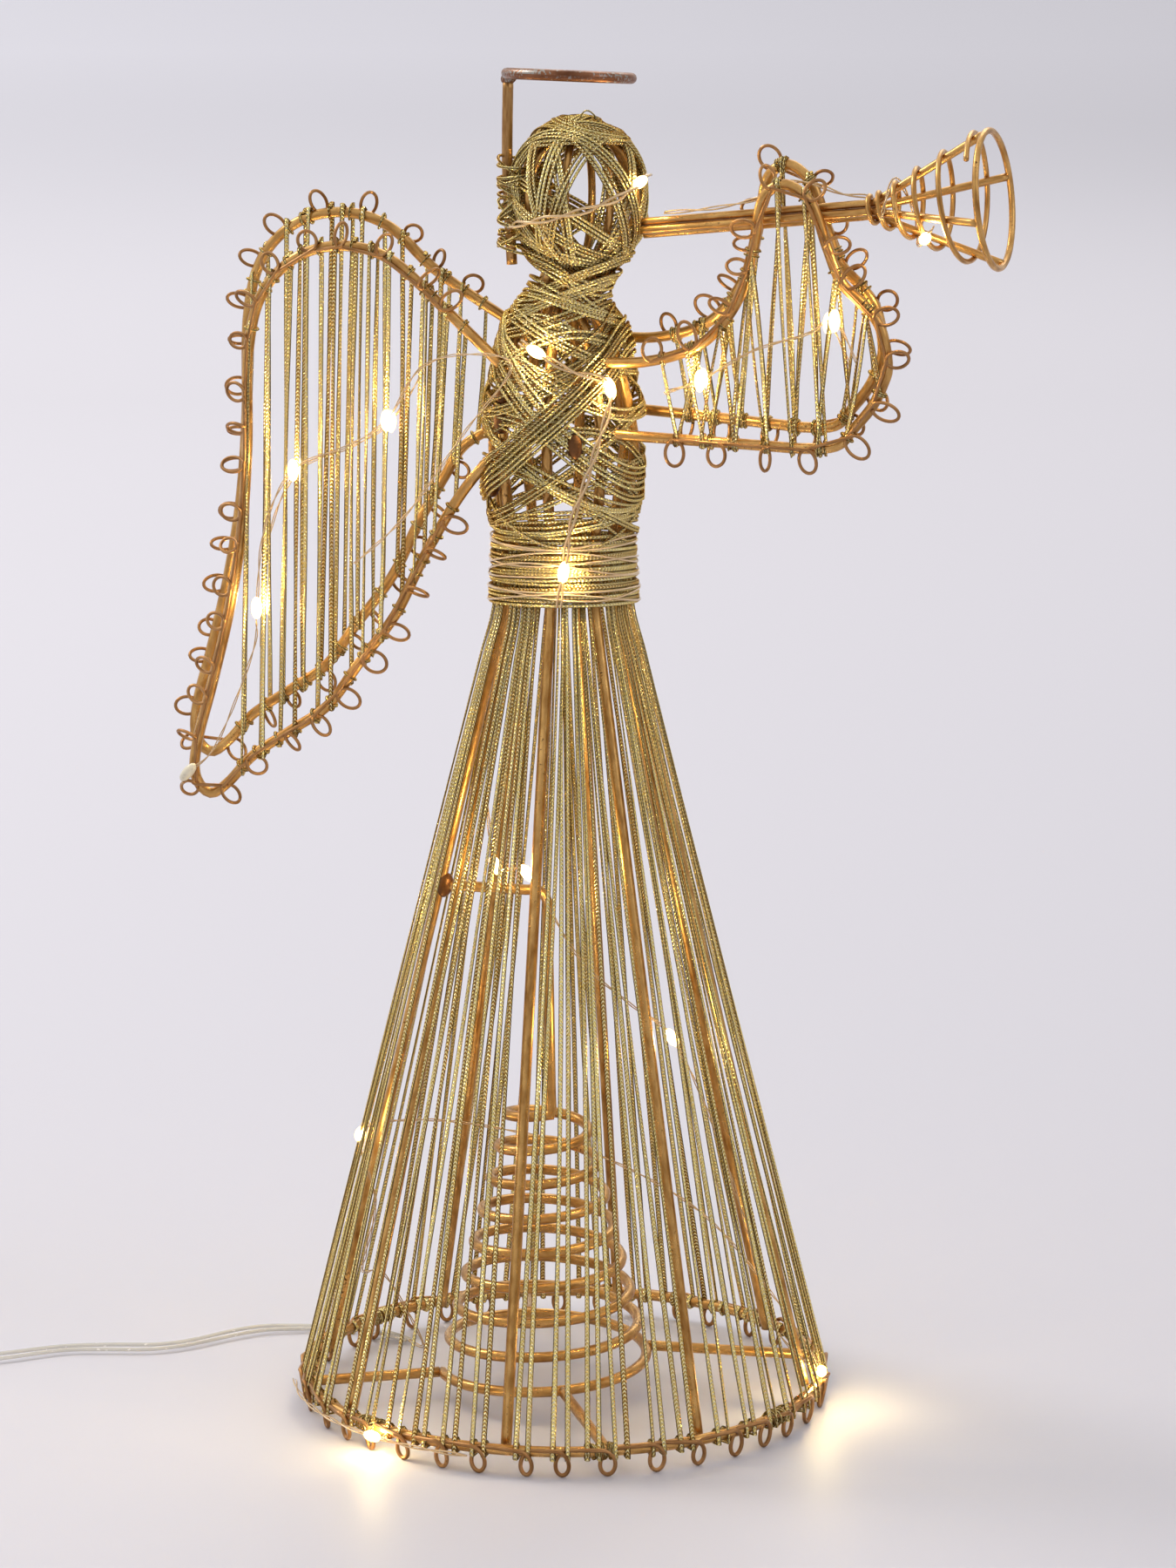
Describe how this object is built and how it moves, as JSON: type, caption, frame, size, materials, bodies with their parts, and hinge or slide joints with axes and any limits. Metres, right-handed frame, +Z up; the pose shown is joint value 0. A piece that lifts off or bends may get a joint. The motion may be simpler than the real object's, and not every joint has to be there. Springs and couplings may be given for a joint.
{
  "type": "angel tree topper",
  "caption": "Wire angel tree topper with thread-laced skirt, wings and sleeves, blowing a trumpet, with a string of small lights, a spiral mount inside and a battery box on its lead.",
  "frame": {"origin": "on the skirt's upright axis, at the level of the floor that the hem of curls stands on", "axes": "+Z up; +X the way the figure faces and its trumpet points; +Y to the figure's left"},
  "size_m": [0.3274, 0.1322, 0.3089],
  "materials": {
    "gold_rod": "antique gold paint on steel rod, satin",
    "copper_curl": "dark antique gold on thin wire, satin",
    "halo_rod": "dark antique copper paint on steel rod, satin",
    "metallic_thread": "braided metallic gold thread with a fine sparkle",
    "light_string": "clear coated wire with warm white resin drops",
    "clear_lead": "clear insulated twin lead",
    "box_plastic": "moulded off-white plastic",
    "switch_plastic": "moulded dark grey plastic",
    "cell_sleeve": "plain dark printed sleeve"
  },
  "bodies": {
    "topper": {"base_hoop": "gold_rod", "body_rib_1": "gold_rod", "body_rib_2": "gold_rod", "body_rib_3": "gold_rod", "body_rib_4": "gold_rod", "body_rib_5": "gold_rod", "body_rib_6": "gold_rod", "body_rib_7": "gold_rod", "body_rib_8": "gold_rod", "waist_hoop": "gold_rod", "collar_ring": "gold_rod", "head_cage": "gold_rod", "trumpet_rod_1": "gold_rod", "trumpet_rod_2": "gold_rod", "trumpet_rod_3": "gold_rod", "trumpet_rod_4": "gold_rod", "bell_rim": "gold_rod", "bell_spiral": "gold_rod", "right_wing_frame": "gold_rod", "left_wing_frame": "gold_rod", "right_sleeve_frame": "gold_rod", "left_sleeve_frame": "gold_rod", "mount_coil": "gold_rod", "coil_spoke_1": "gold_rod", "coil_spoke_2": "gold_rod", "coil_spoke_3": "gold_rod", "coil_spoke_4": "gold_rod", "hem_loop_wire": "copper_curl", "right_wing_curls": "copper_curl", "left_wing_curls": "copper_curl", "right_sleeve_curls": "copper_curl", "left_sleeve_curls": "copper_curl", "halo_post": "halo_rod", "halo_ring": "halo_rod", "skirt_strings": "metallic_thread", "waist_wrap": "metallic_thread", "torso_wrap": "metallic_thread", "neck_wrap": "metallic_thread", "head_wrap": "metallic_thread", "right_wing_strings": "metallic_thread", "left_wing_strings": "metallic_thread", "right_sleeve_strings": "metallic_thread", "left_sleeve_strings": "metallic_thread", "lights_right_wing": "light_string", "lights_left_wing": "light_string", "lights_right_sleeve": "light_string", "lights_left_sleeve": "light_string", "lights_head": "light_string", "lights_torso": "light_string", "lights_trumpet": "light_string", "lights_skirt": "light_string", "lights_hem": "light_string", "lead_cord": "clear_lead", "lead_coil": "clear_lead", "coil_tie": "box_plastic", "battery_box": "box_plastic", "battery_1": "cell_sleeve", "battery_2": "cell_sleeve"},
    "cover": {"battery_cover": "box_plastic"},
    "switch": {"switch_slider": "switch_plastic"}
  },
  "joints": [
    {"name": "cover_slide", "type": "slide", "parent": "topper", "child": "cover", "axis": [-0.225, 0.9744, 0], "range_m": [0, 0.05]},
    {"name": "switch_slide", "type": "slide", "parent": "topper", "child": "switch", "axis": [0.9744, 0.225, 0], "range_m": [0, 0.004]}
  ]
}
